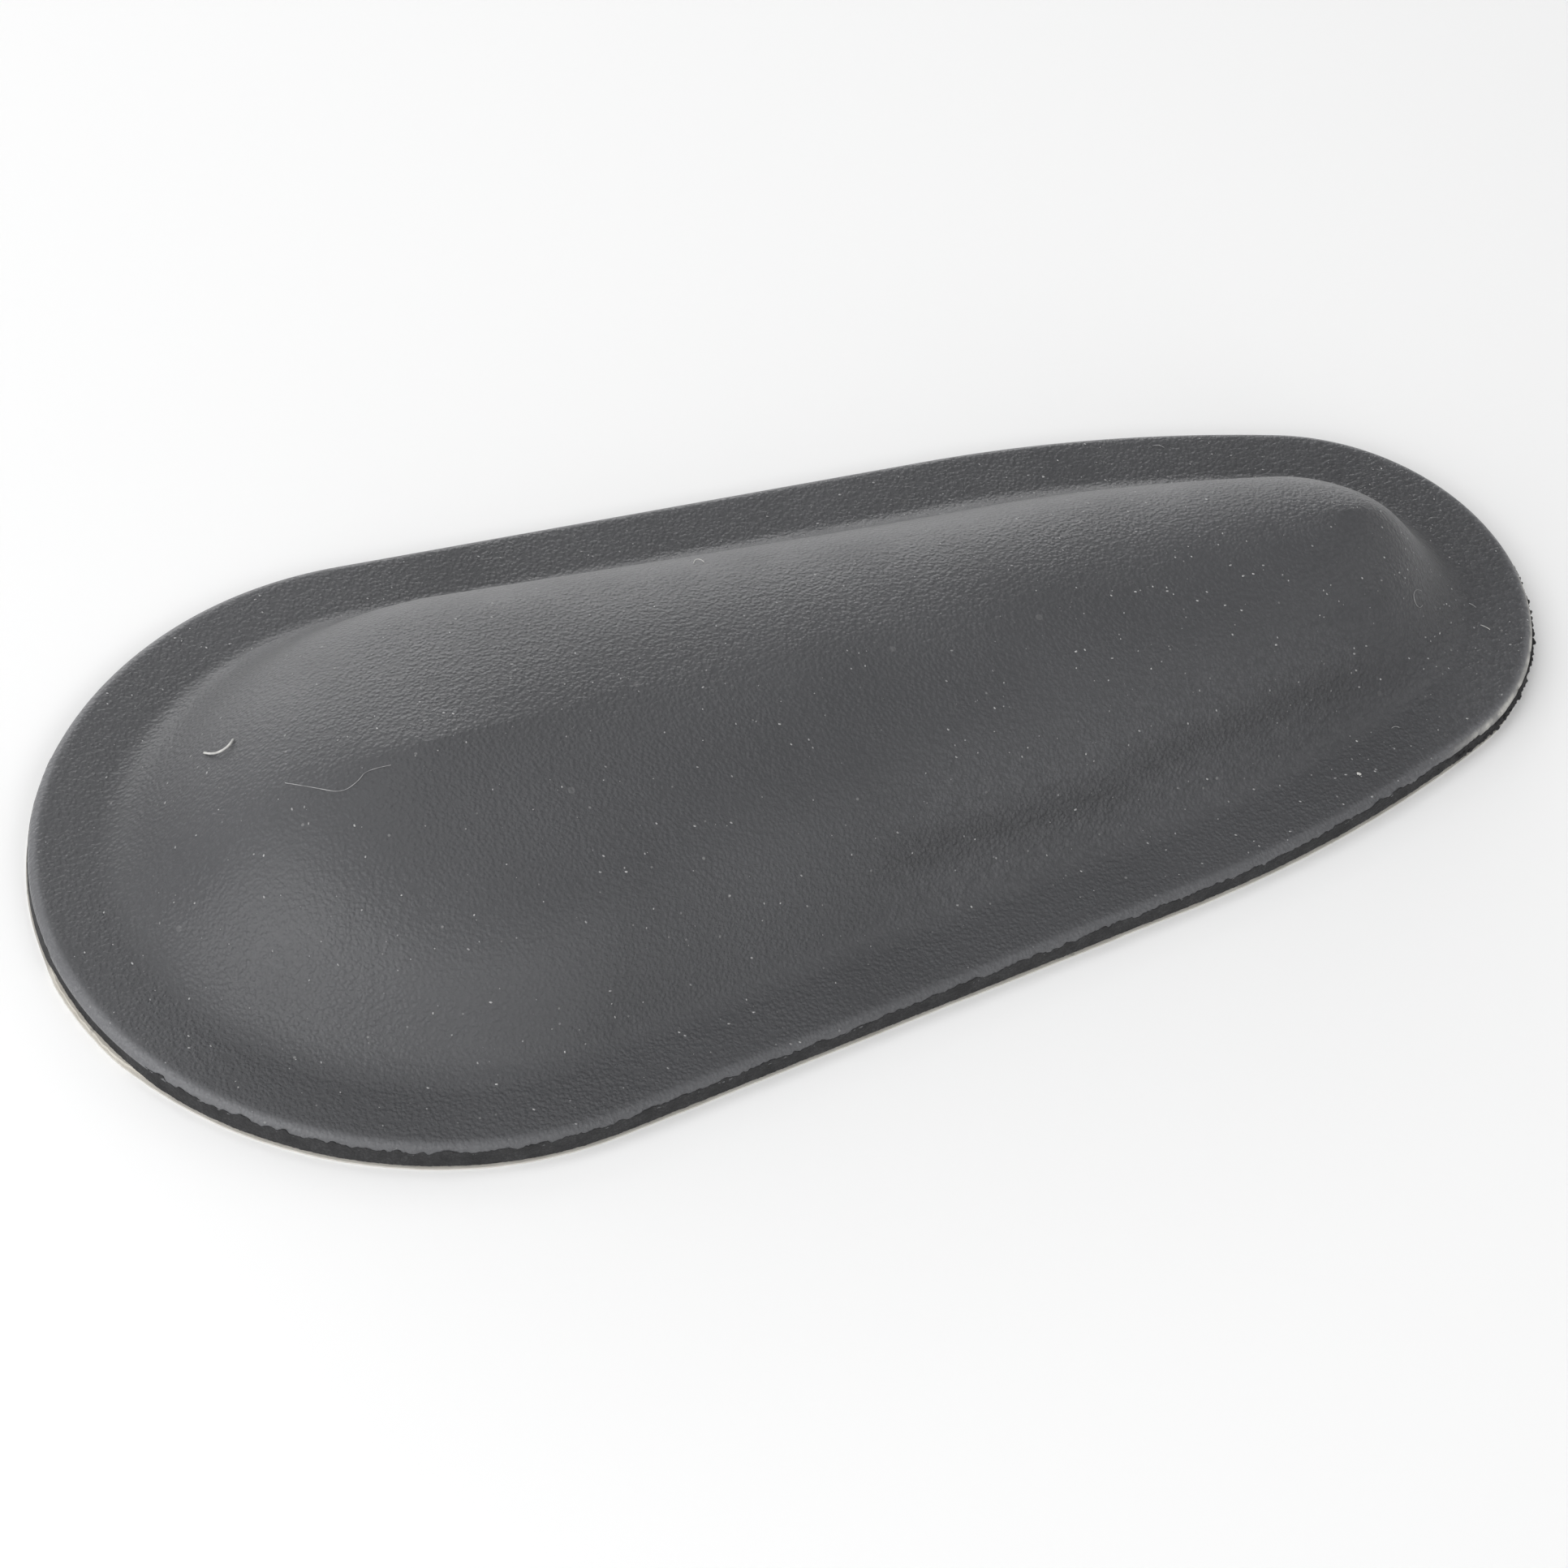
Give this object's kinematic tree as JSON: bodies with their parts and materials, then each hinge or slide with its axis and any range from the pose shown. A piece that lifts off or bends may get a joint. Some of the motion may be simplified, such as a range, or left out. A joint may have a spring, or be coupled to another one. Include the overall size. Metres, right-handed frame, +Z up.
{
  "type": "stick-on cushion pad",
  "caption": "Long drop-shaped stick-on cushion: moulded leatherette over foam, flat pressed border, thin foam base with adhesive tape and release liner.",
  "frame": {"origin": "on the underside of the release liner, at the middle of the pad's length and width", "axes": "+X along the length towards the narrow nose, +Y across the width, +Z up out of the cushion; the pad lies flat on its liner"},
  "size_m": [0.1806, 0.0826, 0.0203],
  "materials": {
    "grey_leatherette": "fine-grained satin leatherette, pressed smooth at the border",
    "soft_cushion_foam": "soft open-cell foam",
    "black_base_foam": "thin closed-cell foam with a die-cut, slightly torn edge",
    "double_sided_tape": "thin off-white adhesive tissue tape",
    "release_liner_paper": "smooth off-white siliconised paper"
  },
  "bodies": {
    "root": {"cover_skin": "grey_leatherette", "foam_insert": "soft_cushion_foam", "base_sheet": "black_base_foam", "adhesive_sheet": "double_sided_tape", "release_liner": "release_liner_paper"}
  },
  "joints": []
}
